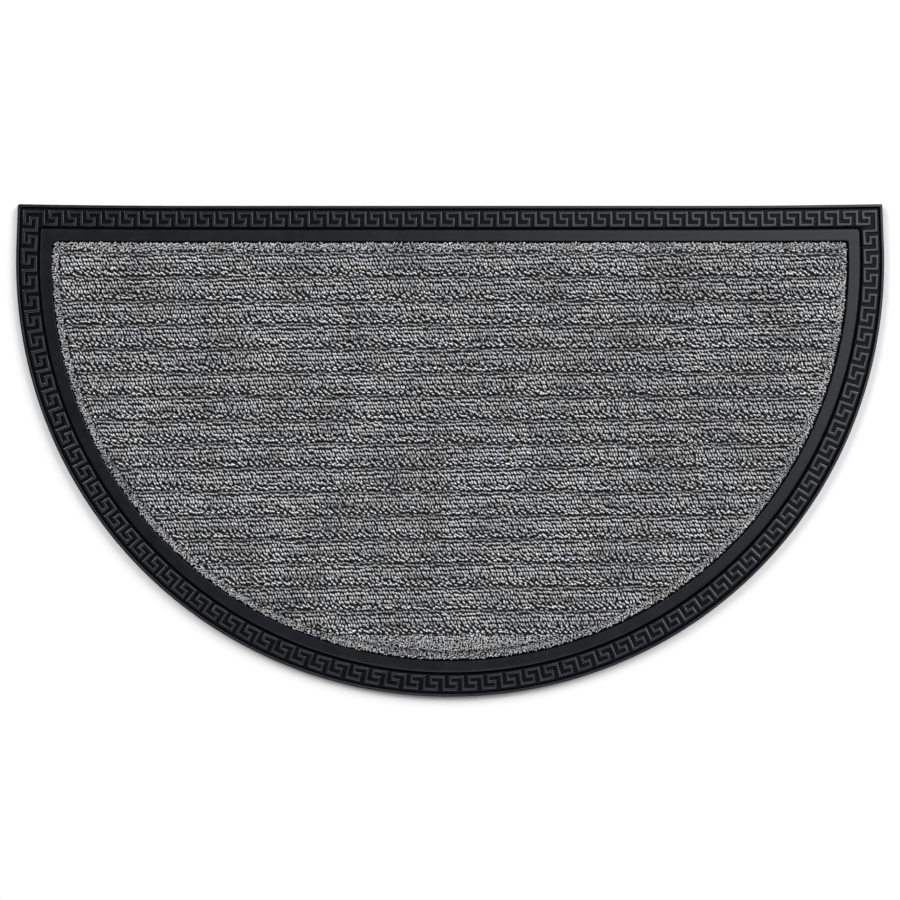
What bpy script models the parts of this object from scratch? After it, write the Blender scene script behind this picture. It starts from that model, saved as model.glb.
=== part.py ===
"""Half-round doormat: a moulded rubber base with a Greek key border, and a ribbed carpet panel.

The mat lies flat on z = 0 with its straight back edge towards +Y and its round edge towards -Y.
The origin is the middle of the footprint, on the floor. Sizes are in metres.
"""
import math

import bmesh
import bpy
from mathutils import Vector
from mathutils.geometry import delaunay_2d_cdt

# Outline, as seen from above
WIDTH = 0.700
RADIUS = WIDTH / 2
CENTRE_TO_BACK = 0.0458           # from the circle's centre to the straight back edge
SIDE_ANGLE = math.radians(2.2)    # above this angle the sides leave the circle and run straight
ROUND_SWELL = 0.0010              # how far the round edge lies outside the circle, halfway down each side
CORNER_FLARE = 0.0014             # how far the two back corners reach past the back edge
FLARE_START = 0.200               # the back edge is straight out to here, on both sides
FLARE_DEPTH = 0.080               # the flare fades out this far in front of the back edge
DEPTH = RADIUS + CENTRE_TO_BACK + CORNER_FLARE
CENTRE_Y = RADIUS - DEPTH / 2

# Border, as distances in from the outer edge
EDGE_BEVEL = 0.0004
RIM_WIDTH = 0.0024
RIM_FOOT = 0.0030
KEY_OUTER = 0.0058                # middle of the key line's outermost run
KEY_GRID = 0.0050                 # spacing of the key's three runs
KEY_TOP_WIDTH = 0.0018
KEY_FOOT_WIDTH = 0.0026
BAND_FOOT = 0.0190
BAND_EDGE = 0.0203
SEAT_EDGE = 0.0295

# Key repeats from corner to corner
KEY_STEPS = 3                     # grid steps in one repeat
BACK_REPEATS = 45
ROUND_REPEATS = 73

# The key has crept along the round side: share of the way round from the left, shift that way
KEY_CREEP = (
    (0.00, 0.0000),
    (0.02, -0.0018),
    (0.16, 0.0048),
    (0.50, 0.0024),
    (0.80, 0.0000),
    (0.95, 0.0026),
    (1.00, 0.0000),
)

# Corner radii
OUTER_CORNER = 0.0015
BAND_CORNER = 0.0025
SEAT_CORNER = 0.0040

# Heights of the rubber
FLOOR_UNDER_CARPET = 0.0020
CHANNEL_FLOOR = 0.0026
RIM_HEIGHT = 0.0036
KEY_HEIGHT = 0.0038
BAND_HEIGHT = 0.0040

# Carpet panel
GAP = 0.0003                      # clearance between the carpet and the rubber
CARPET_EDGE = SEAT_EDGE + GAP
PILE_ROUNDING = 0.0012
MARGIN_WIDTH = 0.0048             # flat pile between the rounded edge and the ends of the ribs
RIB_END = 0.0026                  # length over which a rib slopes down to the margin
EDGE_HEIGHT = 0.0042
MARGIN_HEIGHT = 0.0054
RIB_PITCH = 0.0192
FIRST_CREASE = 0.0083             # first deep crease, behind the circle's centre
RIB_HEIGHT = 0.0076

# One rib from a deep crease forwards: share of the pitch, drop below the crown
RIB_PROFILE = (
    (0.000, 0.0022),              # deep crease
    (0.055, 0.0009),
    (0.170, 0.0002),
    (0.370, 0.0000),              # middle of the wide crown
    (0.570, 0.0002),
    (0.700, 0.0007),
    (0.755, 0.0015),              # shallow crease
    (0.800, 0.0008),
    (0.870, 0.0005),              # narrow ridge
    (0.940, 0.0009),
    (1.000, 0.0022),
)

# Facets
MERGE_DISTANCE = 1e-7
ARC_STEPS = 2 * ROUND_REPEATS
CORNER_STEPS = 3
FLARE_STEPS = 4


def clear_scene():
    for item in list(bpy.data.objects):
        bpy.data.objects.remove(item, do_unlink=True)


def make_material(name, colour, roughness):
    material = bpy.data.materials.new(name)
    material.use_nodes = True
    shader = material.node_tree.nodes["Principled BSDF"]
    shader.inputs["Base Color"].default_value = (*colour, 1.0)
    shader.inputs["Roughness"].default_value = roughness
    shader.inputs["Metallic"].default_value = 0.0
    return material


def look_up(table, place):
    """Value at a place in a table of (place, value) rows, even between the rows."""
    for (start, value), (end, next_value) in zip(table, table[1:]):
        if place <= end:
            return value + (next_value - value) * (place - start) / (end - start)
    return table[-1][1]


def flare(point):
    """Draw a point near a back corner outwards, as the rubber has set."""
    x, y = point
    across = max(0.0, abs(x) - FLARE_START) / (RADIUS - FLARE_START)
    behind = 1 - (CENTRE_Y + CENTRE_TO_BACK - y) / FLARE_DEPTH
    return Vector((x, y + CORNER_FLARE * across ** 2 * max(0.0, behind)))


def leave_angle(inset):
    """Angle above the centre line where a side, or else the back edge, meets the arc."""
    return min(SIDE_ANGLE, math.asin((CENTRE_TO_BACK - inset) / (RADIUS - inset)))


def reach(inset, angle):
    """How far the arc at this inset lies from the circle's centre, in this direction."""
    return RADIUS - inset + ROUND_SWELL * math.sin(2 * angle) ** 2


def arc_length(inset):
    return (RADIUS - inset) * (math.pi + 2 * leave_angle(inset))


def side_length(inset):
    """Length of the straight stretch of a side, on the line that runs this far inside the edge."""
    rise = CENTRE_TO_BACK - inset - (RADIUS - inset) * math.sin(leave_angle(inset))
    return rise / math.cos(leave_angle(inset))


def round_point(distance, inset, start_inset):
    """Point on the sides and the arc.

    The distance runs anticlockwise from the left back corner, along the line that lies
    start_inset inside the edge, and the point lies square to that line at its own inset.
    """
    straight = side_length(start_inset)
    arc = arc_length(start_inset)
    start_angle = math.pi - leave_angle(start_inset)
    on_arc = min(max(distance - straight, 0.0), arc)
    angle = start_angle + on_arc / (RADIUS - start_inset)
    outward = Vector((math.cos(angle), math.sin(angle)))
    forwards = Vector((-outward.y, outward.x))
    on_side = distance - straight - on_arc
    return Vector((0.0, CENTRE_Y)) + outward * reach(inset, angle) + forwards * on_side


def corner_point(inset, side):
    """Sharp back corner of the line at this inset; side is -1 on the left and 1 on the right."""
    angle = leave_angle(inset)
    x = (RADIUS - inset) * math.cos(angle) - side_length(inset) * math.sin(angle)
    return Vector((side * x, CENTRE_Y + CENTRE_TO_BACK - inset))


def polar(middle, radius, angle):
    return middle + radius * Vector((math.cos(angle), math.sin(angle)))


def half_round(inset, corner_radius):
    """Closed anticlockwise line that runs this far inside the outer edge, its back corners rounded."""
    angle = leave_angle(inset + corner_radius)
    left, right = (corner_point(inset + corner_radius, side) for side in (-1, 1))
    turn = (math.pi / 2 - angle) / CORNER_STEPS
    points = [polar(right, corner_radius, angle + turn * step) for step in range(CORNER_STEPS + 1)]

    flared = [left.x - (FLARE_START + left.x) * step / FLARE_STEPS for step in range(1, FLARE_STEPS + 1)]
    points += [Vector((x, points[-1].y)) for x in [-x for x in flared] + flared[::-1]]

    points += [polar(left, corner_radius, math.pi / 2 + turn * step) for step in range(CORNER_STEPS + 1)]
    middle, sweep = Vector((0.0, CENTRE_Y)), math.pi + 2 * angle
    meets_corner = angle < SIDE_ANGLE
    for step in range(meets_corner, ARC_STEPS + 1 - meets_corner):
        turned = math.pi - angle + sweep * step / ARC_STEPS
        points.append(polar(middle, reach(inset, turned), turned))
    return [flare(point) for point in points]


def key_run(repeats):
    """One side's stretch of the key line, as (grid steps along, grid steps in) from its corner."""
    steps = []
    for repeat in range(repeats - 1):
        start = KEY_STEPS * repeat
        steps += [(start, 0), (start + 2, 0), (start + 2, 1),
                  (start + 1, 1), (start + 1, 2), (start + 3, 2)]
    steps.append((KEY_STEPS * (repeats - 1), 0))
    return steps


def key_line():
    """Middle of the Greek key line, once round the mat."""
    left, right = corner_point(KEY_OUTER, -1), corner_point(KEY_OUTER, 1)
    back_step = (right.x - left.x) / (KEY_STEPS * BACK_REPEATS)
    round_length = 2 * side_length(KEY_OUTER) + arc_length(KEY_OUTER)
    round_step = round_length / (KEY_STEPS * ROUND_REPEATS)
    points = []
    for along, inwards in key_run(BACK_REPEATS):
        points.append(Vector((right.x - along * back_step, right.y - inwards * KEY_GRID)))
    for along, inwards in key_run(ROUND_REPEATS):
        distance = along * round_step
        distance += look_up(KEY_CREEP, distance / round_length)
        points.append(round_point(distance, KEY_OUTER + inwards * KEY_GRID, KEY_OUTER))
    return [flare(point) for point in points]


def offset_line(points, distance):
    """Closed anticlockwise line moved outwards by a distance, with its corners kept sharp."""
    moved = []
    for index, point in enumerate(points):
        before = (point - points[index - 1]).normalized()
        after = (points[(index + 1) % len(points)] - point).normalized()
        normal = Vector((before.y + after.y, -before.x - after.x)).normalized()
        moved.append(point + normal * distance / normal.dot(Vector((before.y, -before.x))))
    return moved


def add_loop(mesh, points, height):
    return [mesh.verts.new((point.x, point.y, height)) for point in points]


def loop_edges(mesh, loop):
    edges = []
    for index, vertex in enumerate(loop):
        pair = (loop[index - 1], vertex)
        edges.append(mesh.edges.get(pair) or mesh.edges.new(pair))
    return edges


def add_wall(mesh, lower, upper):
    for index in range(len(lower)):
        mesh.faces.new((lower[index - 1], lower[index], upper[index], upper[index - 1]))


def add_flat(mesh, *loops):
    """Fill a level area: one loop, or the ring between two."""
    edges = [edge for loop in loops for edge in loop_edges(mesh, loop)]
    bmesh.ops.triangle_fill(mesh, edges=edges, use_beauty=True, normal=(0.0, 0.0, 1.0))


def finish_object(name, mesh, material):
    bmesh.ops.recalc_face_normals(mesh, faces=mesh.faces)
    data = bpy.data.meshes.new(name)
    mesh.to_mesh(data)
    mesh.free()
    data.materials.append(material)
    item = bpy.data.objects.new(name, data)
    bpy.context.collection.objects.link(item)
    return item


def make_rubber_base():
    """The moulded base: terraces between nested lines, from the underside up and inwards."""
    mesh = bmesh.new()
    outline = half_round(0.0, OUTER_CORNER)
    middle = key_line()
    underside = add_loop(mesh, outline, 0.0)
    edge = add_loop(mesh, outline, RIM_HEIGHT - EDGE_BEVEL)
    rim_outer = add_loop(mesh, half_round(EDGE_BEVEL, OUTER_CORNER), RIM_HEIGHT)
    rim_inner = add_loop(mesh, half_round(RIM_WIDTH, BAND_CORNER), RIM_HEIGHT)
    rim_foot = add_loop(mesh, half_round(RIM_FOOT, BAND_CORNER), CHANNEL_FLOOR)
    key_foot_outer = add_loop(mesh, offset_line(middle, KEY_FOOT_WIDTH / 2), CHANNEL_FLOOR)
    key_top_outer = add_loop(mesh, offset_line(middle, KEY_TOP_WIDTH / 2), KEY_HEIGHT)
    key_top_inner = add_loop(mesh, offset_line(middle, -KEY_TOP_WIDTH / 2), KEY_HEIGHT)
    key_foot_inner = add_loop(mesh, offset_line(middle, -KEY_FOOT_WIDTH / 2), CHANNEL_FLOOR)
    band_foot = add_loop(mesh, half_round(BAND_FOOT, BAND_CORNER), CHANNEL_FLOOR)
    band_outer = add_loop(mesh, half_round(BAND_EDGE, BAND_CORNER), BAND_HEIGHT)
    seat_outline = half_round(SEAT_EDGE, SEAT_CORNER)
    seat_top = add_loop(mesh, seat_outline, BAND_HEIGHT)
    seat_floor = add_loop(mesh, seat_outline, FLOOR_UNDER_CARPET)

    add_flat(mesh, underside)
    add_wall(mesh, underside, edge)
    add_wall(mesh, edge, rim_outer)
    add_wall(mesh, rim_outer, rim_inner)
    add_wall(mesh, rim_inner, rim_foot)
    add_flat(mesh, rim_foot, key_foot_outer)
    add_wall(mesh, key_foot_outer, key_top_outer)
    add_wall(mesh, key_top_outer, key_top_inner)
    add_wall(mesh, key_top_inner, key_foot_inner)
    add_flat(mesh, key_foot_inner, band_foot)
    add_wall(mesh, band_foot, band_outer)
    add_flat(mesh, band_outer, seat_top)
    add_wall(mesh, seat_top, seat_floor)
    add_flat(mesh, seat_floor)
    return finish_object("rubber_base", mesh, make_material("Moulded rubber", (0.018, 0.019, 0.021), 0.55))


def rib_height(y):
    """Height of the pile at a place across the ribs."""
    share = (CENTRE_Y + FIRST_CREASE - y) / RIB_PITCH % 1.0
    return RIB_HEIGHT - look_up(RIB_PROFILE, share)


def rib_rows(back, front):
    """Places across the ribs where their slope changes, from the back to the front."""
    rows = []
    crease = CENTRE_Y + FIRST_CREASE
    while crease > front:
        rows += [crease - share * RIB_PITCH for share, _ in RIB_PROFILE[:-1]]
        crease -= RIB_PITCH
    return [y for y in rows if front < y <= back]


def half_width(y, inset):
    """Half the width across the arc at a place, on the line that runs this far inside the edge."""
    angle = math.asin((y - CENTRE_Y) / (RADIUS - inset))
    return math.sqrt(reach(inset, angle) ** 2 - (y - CENTRE_Y) ** 2)


def make_carpet_panel():
    """The carpet: a level underside, a flat margin and ribs parallel to the back edge."""
    margin_inset = CARPET_EDGE + MARGIN_WIDTH
    field_inset = margin_inset + RIB_END
    outline = half_round(CARPET_EDGE, SEAT_CORNER)
    shoulder = half_round(CARPET_EDGE + PILE_ROUNDING, SEAT_CORNER)
    margin = half_round(margin_inset, SEAT_CORNER)
    back = CENTRE_Y + CENTRE_TO_BACK - field_inset
    front = CENTRE_Y - (RADIUS - field_inset)
    rows = rib_rows(back, front)
    sides = [(half_width(y, field_inset), y) for y in rows]
    nose = [Vector((0.0, front))]
    field = [Vector((-x, y)) for x, y in sides] + nose + [Vector((x, y)) for x, y in sides[::-1]]

    corners, edges = [], []
    for points, height in ((outline, EDGE_HEIGHT), (shoulder, MARGIN_HEIGHT), (margin, MARGIN_HEIGHT),
                           (field, None)):
        first = len(corners)
        corners += [(point, rib_height(point.y) if height is None else height) for point in points]
        edges += [(first + step, first + (step + 1) % len(points)) for step in range(len(points))]
    last = len(corners) - 1
    first = last - len(field) + 1
    edges += [(first + step, last - step) for step in range(1, len(sides))]

    flat_points = [point for point, _ in corners]
    placed, _, faces, sources, _, _ = delaunay_2d_cdt(flat_points, edges, [], 1, MERGE_DISTANCE)
    mesh = bmesh.new()
    top = [mesh.verts.new((point.x, point.y, corners[source[0]][1]))
           for point, source in zip(placed, sources)]
    for face in faces:
        mesh.faces.new([top[index] for index in face])
    by_source = {source[0]: vertex for vertex, source in zip(top, sources)}
    rim = [by_source[index] for index in range(len(outline))]
    underside = add_loop(mesh, outline, FLOOR_UNDER_CARPET + GAP)
    add_wall(mesh, underside, rim)
    mesh.faces.new(underside)
    return finish_object("carpet_panel", mesh, make_material("Loop-pile carpet", (0.14, 0.14, 0.145), 0.95))


clear_scene()
make_rubber_base()
make_carpet_panel()
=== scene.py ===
"""Half-round doormat: a moulded rubber border with a Greek key, round a ribbed loop-pile carpet.

The mat lies on z = 0, its straight back edge towards +Y. Sizes are in metres unless a name says mm.
"""

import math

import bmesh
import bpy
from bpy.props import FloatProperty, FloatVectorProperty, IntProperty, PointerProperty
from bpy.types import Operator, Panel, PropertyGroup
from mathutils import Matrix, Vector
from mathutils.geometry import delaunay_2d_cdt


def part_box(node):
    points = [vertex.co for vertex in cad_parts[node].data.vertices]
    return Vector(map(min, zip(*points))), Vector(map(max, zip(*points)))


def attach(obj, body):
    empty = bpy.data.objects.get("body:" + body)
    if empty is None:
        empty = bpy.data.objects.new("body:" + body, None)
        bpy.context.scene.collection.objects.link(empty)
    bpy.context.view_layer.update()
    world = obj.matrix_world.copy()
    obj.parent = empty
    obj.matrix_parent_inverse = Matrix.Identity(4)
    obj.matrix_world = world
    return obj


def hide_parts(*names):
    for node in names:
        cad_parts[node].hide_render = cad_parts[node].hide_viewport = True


bl_info = {
    "name": "Half-round doormat",
    "version": (1, 0, 0),
    "blender": (4, 5, 0),
    "location": "3D View > Sidebar > Doormat",
    "description": "Builds a half-round rubber doormat with a Greek key border and a ribbed loop-pile carpet",
    "category": "Add Mesh",
}

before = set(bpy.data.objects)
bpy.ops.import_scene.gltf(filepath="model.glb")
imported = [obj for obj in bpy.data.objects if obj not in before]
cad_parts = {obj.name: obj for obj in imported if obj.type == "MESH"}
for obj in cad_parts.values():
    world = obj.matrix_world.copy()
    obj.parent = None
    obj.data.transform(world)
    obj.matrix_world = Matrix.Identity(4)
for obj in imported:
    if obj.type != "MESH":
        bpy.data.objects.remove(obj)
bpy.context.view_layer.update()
BASE_LOW, BASE_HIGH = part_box("rubber_base")
PANEL_LOW, PANEL_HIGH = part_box("carpet_panel")
BODY = "root"
MM = 0.001


def linear(code):
    """Linear RGBA of an sRGB hex colour."""
    shares = [int(code[start:start + 2], 16) / 255 for start in (1, 3, 5)]
    return (*[c / 12.92 if c <= 0.04045 else ((c + 0.055) / 1.055) ** 2.4 for c in shares], 1.0)


def size(name, description, millimetres):
    """A length that the sidebar shows."""
    return FloatProperty(name=name, description=description, default=millimetres * MM, unit="LENGTH",
                         subtype="DISTANCE", precision=5)


def colour(name, description, code):
    """A colour that the sidebar shows."""
    return FloatVectorProperty(name=name, description=description, default=linear(code), size=4,
                               min=0.0, max=1.0, subtype="COLOR")


class DoormatOutline(PropertyGroup):
    width: size("Width", "Length of the straight back edge, over the rubber",
                round((BASE_HIGH.x - BASE_LOW.x) / MM, 1))
    centre_to_back: size("Centre to back", "From the centre of the round edge to the back edge", 45.8)
    side_angle: FloatProperty(name="Side angle", description="Above this angle the sides run straight",
                              default=math.radians(2.2), subtype="ANGLE", unit="ROTATION")
    round_swell: size("Round swell", "How far the round edge lies outside the circle, halfway down", 1.0)
    corner_flare: size("Corner flare", "How far the two back corners reach past the back edge", 1.4)
    flare_start: size("Flare start", "The back edge is straight out to here, on both sides", 200.0)
    flare_depth: size("Flare depth", "The flare fades out this far in front of the back edge", 80.0)


class DoormatBorder(PropertyGroup):
    key_inset: size("Key inset", "From the outer edge to the middle of the key's outermost run", 5.8)
    key_grid: size("Key grid", "Spacing of the key's three runs", 5.0)
    key_corner: size("Key corner", "Rounding of the key's corners, as seen from above", 0.45)
    back_repeats: IntProperty(name="Back repeats", description="Keys along the back edge", default=45, min=2)
    round_repeats: IntProperty(name="Round repeats", description="Keys along the round edge", default=73,
                               min=2)
    outer_corner: size("Outer corner", "Radius of the two back corners", 1.5)
    groove_corner: size("Groove corner", "Radius of the rim's groove at the back corners", 0.8)
    band_left: size("Band corner, left", "Radius of the band's left outer corner", 1.5)
    band_right: size("Band corner, right", "Radius of the band's right outer corner", 3.5)
    seat_left: size("Seat corner, left", "Radius of the left corner of the carpet's seat", 4.4)
    seat_right: size("Seat corner, right", "Radius of the right corner of the carpet's seat", 1.8)
    rubber: colour("Rubber", "Colour of the moulded rubber", "#040508")
    dust: colour("Dust", "Colour of the dust that the raised rubber keeps", "#676a71")


class DoormatCarpet(PropertyGroup):
    edge: size("Edge", "From the mat's outer edge to the carpet's edge", 29.8)
    rib_pitch: size("Rib pitch", "From one deep crease to the next", 19.2)
    first_crease: size("First crease", "Behind the centre of the round edge", 8.3)
    crease_depth: size("Crease depth", "Depth of the deep creases below the crowns", 2.2)
    margin: size("Margin", "Flat pile between the carpet's edge and the ends of the ribs", 6.0)
    plain_front: size("Plain front", "Unribbed pile between the carpet's front edge and the last crease", 20.3)
    row_spacing: size("Row spacing", "From one row of loops to the next", 3.13)
    loop_spacing: size("Loop spacing", "From one loop to the next in a row", 2.30)
    row_slope: FloatProperty(name="Row slope", description="Rise of a row of loops to the right",
                             default=0.03)
    pile_depth: size("Pile depth", "From the tops of the loops down to the ground between them", 2.0)
    seed: IntProperty(name="Seed", description="Changes how the loops are scattered", default=7)
    dark_yarn: colour("Dark yarn", "Darkest fibres of the heather yarn", "#5a5b5e")
    middle_yarn: colour("Middle yarn", "Middle fibres of the heather yarn", "#adaeb1")
    light_yarn: colour("Light yarn", "Lightest fibres of the heather yarn", "#e8e8e9")
    # Near-black: the backing's colour, and painted shade on the yarn's feet between the loops
    ground: colour("Ground", "Backing and yarn feet between the loops", "#060607")


class DoormatStage(PropertyGroup):
    camera_height: FloatProperty(name="Camera height", description="Of the camera above the floor",
                                 default=2.0, unit="LENGTH", subtype="DISTANCE")
    camera_x: size("Camera x", "How far right of the mat's middle the camera stands", -0.1)
    camera_y: size("Camera y", "How far behind the mat's middle the camera stands", 0.30)
    view_width: FloatProperty(name="View width", description="Width of the picture at the mat",
                              default=0.7253, unit="LENGTH", subtype="DISTANCE")
    floor: colour("Floor", "Colour of the floor", "#f2f2f2")


# Share of the way round from the left back corner, and how far the key has crept that way, in mm
KEY_CREEP = (
    (0.00, 0.0),
    (0.02, -1.8),
    (0.16, 4.8),
    (0.50, 2.4),
    (0.80, 0.0),
    (0.95, 2.6),
    (1.00, 0.0),
)

# The border's section as inset from the outer edge and height, in mm, from the underside to the key
RIM_SECTION = (
    (0.40, 0.00),
    (0.00, 0.40),
    (0.00, 3.00),
    (0.08, 3.36),
    (0.28, 3.58),
    (0.60, 3.68),
    (1.30, 3.70),
    (1.95, 3.67),
    (2.20, 3.48),
    (2.40, 3.05),
    (2.62, 2.50),
    (2.95, 2.25),
    (3.25, 2.45),
    (3.50, 2.60),
)

# From the key's inner foot over the band to the floor of the carpet's seat
BAND_SECTION = (
    (17.45, 2.60),
    (17.75, 2.35),
    (18.05, 2.15),
    (18.35, 2.30),
    (18.65, 2.60),
    (19.00, 3.05),
    (19.35, 3.45),
    (19.75, 3.70),
    (20.25, 3.80),
    (22.60, 3.86),
    (26.90, 3.94),
    (27.90, 4.00),
    (28.40, 3.98),
    (28.55, 3.92),
    (28.80, 3.55),
    (29.05, 3.15),
    (29.28, 2.70),
    (29.50, 2.00),
)

# The key line's section as distance from its middle and height, in mm, from its foot to its top
KEY_SECTION = (
    (1.36, 2.60),
    (1.30, 2.92),
    (1.24, 3.30),
    (1.14, 3.56),
    (1.00, 3.70),
    (0.68, 3.81),
    (0.24, 3.85),
)

# The rubber's finishes: name, share of dust, roughness and specular level
RUBBER_FINISHES = (
    ("Dull moulded rubber", 0.00, 0.60, 0.03),
    ("Dusty moulded rubber", 0.04, 0.31, 0.90),
    ("Wiped moulded rubber", 0.02, 0.35, 0.50),
    ("Satin moulded rubber", 0.00, 0.42, 0.20),
)
DULL, DUSTY, WIPED, SATIN = range(len(RUBBER_FINISHES))
WORN = 3.66               # in mm, the height from which the rubber is worn
GLOSS_TINT = "#f4f8ff"    # the rubber's gloss is faintly cool

# One rib from a deep crease forwards: share of the pitch, share of the crease depth
RIB_PROFILE = (
    (0.000, 1.00),
    (0.055, 0.41),
    (0.170, 0.09),
    (0.370, 0.00),
    (0.570, 0.09),
    (0.722, 0.30),
    (0.763, 0.68),
    (0.805, 0.36),
    (0.870, 0.23),
    (0.945, 0.38),
    (1.000, 1.00),
)

# Painted light and shade across the same rib, darker in and after the creases and lighter on the slopes before
# them: share of the pitch, tone from 0 to 1
RIB_PAINTED_SHADE = (
    (0.00, 0.42),
    (0.06, 0.18),
    (0.16, 0.47),
    (0.32, 0.57),
    (0.42, 0.61),
    (0.52, 0.56),
    (0.60, 0.25),
    (0.69, 0.85),
    (0.75, 0.44),
    (0.84, 0.54),
    (0.92, 0.82),
    (0.97, 0.80),
    (1.00, 0.42),
)
MARGIN_TONE = 0.54

# How loosely the rows lie across the same rib: share of the pitch, share of the jitter
RIB_LOOSENESS = (
    (0.00, 0.80),
    (0.12, 0.71),
    (0.30, 0.71),
    (0.48, 0.50),
    (0.56, 0.54),
    (0.64, 0.74),
    (0.76, 1.00),
    (0.92, 1.00),
    (1.00, 0.80),
)
ROW_JITTER = 0.95        # in mm, how far a loop strays from its row where the rows are loosest
NEAT = 0.70              # up to this looseness, the loops of a row keep one line

# How far the loops lean off the row across the same rib: share of the pitch, share of a right angle
RIB_LEAN = (
    (0.00, 0.30),
    (0.18, 0.38),
    (0.35, 0.62),
    (0.65, 0.68),
    (0.76, 0.45),
    (1.00, 0.32),
)

# Each crease of a rib: share of the pitch, how far it pushes the loops aside, and its reach, in mm
CREASES = (
    (0.000, 0.50, 2.6),
    (0.763, 0.28, 1.8),
)

# A yarn loop's arch, as shares of its length, height and width: place along it, top, width there
ARCH = (
    (-0.30, 0.86, 0.84),
    (0.00, 1.00, 1.00),
    (0.30, 0.86, 0.84),
)
FIBRE_CONTRAST = 1.6      # how much the fibres within a loop differ in tone
YARN_CLOUDING = 0.65      # how much the yarn's tone drifts over a few ribs
WARM_CAST = "#fff6ec"     # the yarn's faint warm and cool casts
COOL_CAST = "#ecf6ff"
YARN_HEIGHT = 0.52        # from the yarn's underside to its top, as a share of the loop's height
LOOP_STRETCH = 1.2        # how much longer a loop looks that leans by a right angle

ROW_SPREAD = 0.12         # in mm, how far the rows are drawn apart on a rib's crown
CROWN = 0.35              # share of the pitch where the crown is highest

# Lines of loops along the carpet's edge: how far inside it, and the radii of their left and right
# back corners, in mm
EDGE_LINES = (
    (1.2, 3.8, 1.2),
    (2.6, 3.0, 1.2),
    (4.0, 2.2, 1.2),
    (5.4, 1.6, 1.2),
)
LINE_STEP = 1.5           # in mm, from one such line to the next over the plain front
LEFT_CORNER = 4.4         # in mm, the radius of the carpet's left back corner
RIGHT_CORNER = 1.8        # in mm, the radius of its right back corner
EDGE_SHIFT = (-0.65, -0.05)   # in mm, how far the carpet lies off the middle of its seat
EDGE_JITTER = 0.7             # in mm, how far a loop strays from these lines

KEY_STEPS = 3             # grid steps in one repeat of the key
ARC_STEPS = 292
CORNER_STEPS = 6
MERGE_DISTANCE = 1e-7
FLARE_STEPS = 10


def look_up(table, place):
    """Value at a place in a table of (place, value) rows, even between the rows."""
    for (start, value), (end, next_value) in zip(table, table[1:]):
        if place <= end:
            return value + (next_value - value) * (place - start) / (end - start)
    return table[-1][1]


class HalfRound:
    """The mat's outline, and the lines that run inside it."""

    def __init__(self, outline):
        self.radius = outline.width / 2
        self.centre_y = BASE_LOW.y + self.radius
        self.centre_to_back = outline.centre_to_back
        self.side_angle = outline.side_angle
        self.round_swell = outline.round_swell
        self.corner_flare = outline.corner_flare
        self.flare_start = outline.flare_start
        self.flare_depth = outline.flare_depth

    def flare(self, point):
        """Draw a point near a back corner outwards, as the rubber has set."""
        x, y = point
        across = max(0.0, abs(x) - self.flare_start) / (self.radius - self.flare_start)
        behind = 1 - (self.centre_y + self.centre_to_back - y) / self.flare_depth
        return Vector((x, y + self.corner_flare * across ** 2 * max(0.0, behind)))

    def leave_angle(self, inset):
        """Angle above the centre line where a side, or else the back edge, meets the arc."""
        meets_back = math.asin((self.centre_to_back - inset) / (self.radius - inset))
        return min(self.side_angle, meets_back)

    def reach(self, inset, angle):
        """How far the arc at this inset lies from its centre, in this direction."""
        return self.radius - inset + self.round_swell * math.sin(2 * angle) ** 2

    def arc_length(self, inset):
        return (self.radius - inset) * (math.pi + 2 * self.leave_angle(inset))

    def side_length(self, inset):
        """Length of the straight stretch of a side, on the line that runs this far inside the edge."""
        angle = self.leave_angle(inset)
        rise = self.centre_to_back - inset - (self.radius - inset) * math.sin(angle)
        return rise / math.cos(angle)

    def round_point(self, distance, inset, start_inset):
        """Point on the sides and the arc, its distance measured from the left back corner."""
        straight = self.side_length(start_inset)
        on_arc = min(max(distance - straight, 0.0), self.arc_length(start_inset))
        angle = math.pi - self.leave_angle(start_inset) + on_arc / (self.radius - start_inset)
        outward = Vector((math.cos(angle), math.sin(angle)))
        forwards = Vector((-outward.y, outward.x))
        on_side = distance - straight - on_arc
        return Vector((0.0, self.centre_y)) + outward * self.reach(inset, angle) + forwards * on_side

    def corner(self, inset, side):
        """Sharp back corner of the line at this inset; side is -1 on the left and 1 on the right."""
        angle = self.leave_angle(inset)
        x = (self.radius - inset) * math.cos(angle) - self.side_length(inset) * math.sin(angle)
        return Vector((side * x, self.centre_y + self.centre_to_back - inset))

    def ring(self, inset, left_radius, right_radius):
        """Closed anticlockwise line that runs this far inside the outer edge, round both back corners."""
        left_angle = self.leave_angle(inset + left_radius)
        right_angle = self.leave_angle(inset + right_radius)
        left = self.corner(inset + left_radius, -1)
        right = self.corner(inset + right_radius, 1)
        turn = (math.pi / 2 - right_angle) / CORNER_STEPS
        points = [polar(right, right_radius, right_angle + turn * step) for step in range(CORNER_STEPS + 1)]
        shares = [step / FLARE_STEPS for step in range(1, FLARE_STEPS + 1)]
        flared = [right.x + (self.flare_start - right.x) * share for share in shares]
        flared += [left.x - (self.flare_start + left.x) * share for share in reversed(shares)]
        points += [Vector((x, points[-1].y)) for x in flared]
        turn = (math.pi / 2 - left_angle) / CORNER_STEPS
        points += [polar(left, left_radius, math.pi / 2 + turn * step) for step in range(CORNER_STEPS + 1)]
        middle = Vector((0.0, self.centre_y))
        sweep = math.pi + left_angle + right_angle
        turns = [math.pi - left_angle + sweep * step / ARC_STEPS for step in range(1, ARC_STEPS)]
        points += [polar(middle, self.reach(inset, turned), turned) for turned in turns]
        return [self.flare(point) for point in points]


def polar(middle, radius, angle):
    return middle + radius * Vector((math.cos(angle), math.sin(angle)))


def key_run(repeats):
    """One side's stretch of the key line, as (grid steps along, grid steps in) from its corner."""
    steps = []
    for repeat in range(repeats - 1):
        start = KEY_STEPS * repeat
        steps += [(start, 0), (start + 2, 0), (start + 2, 1),
                  (start + 1, 1), (start + 1, 2), (start + 3, 2)]
    steps.append((KEY_STEPS * (repeats - 1), 0))
    return steps


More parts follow.
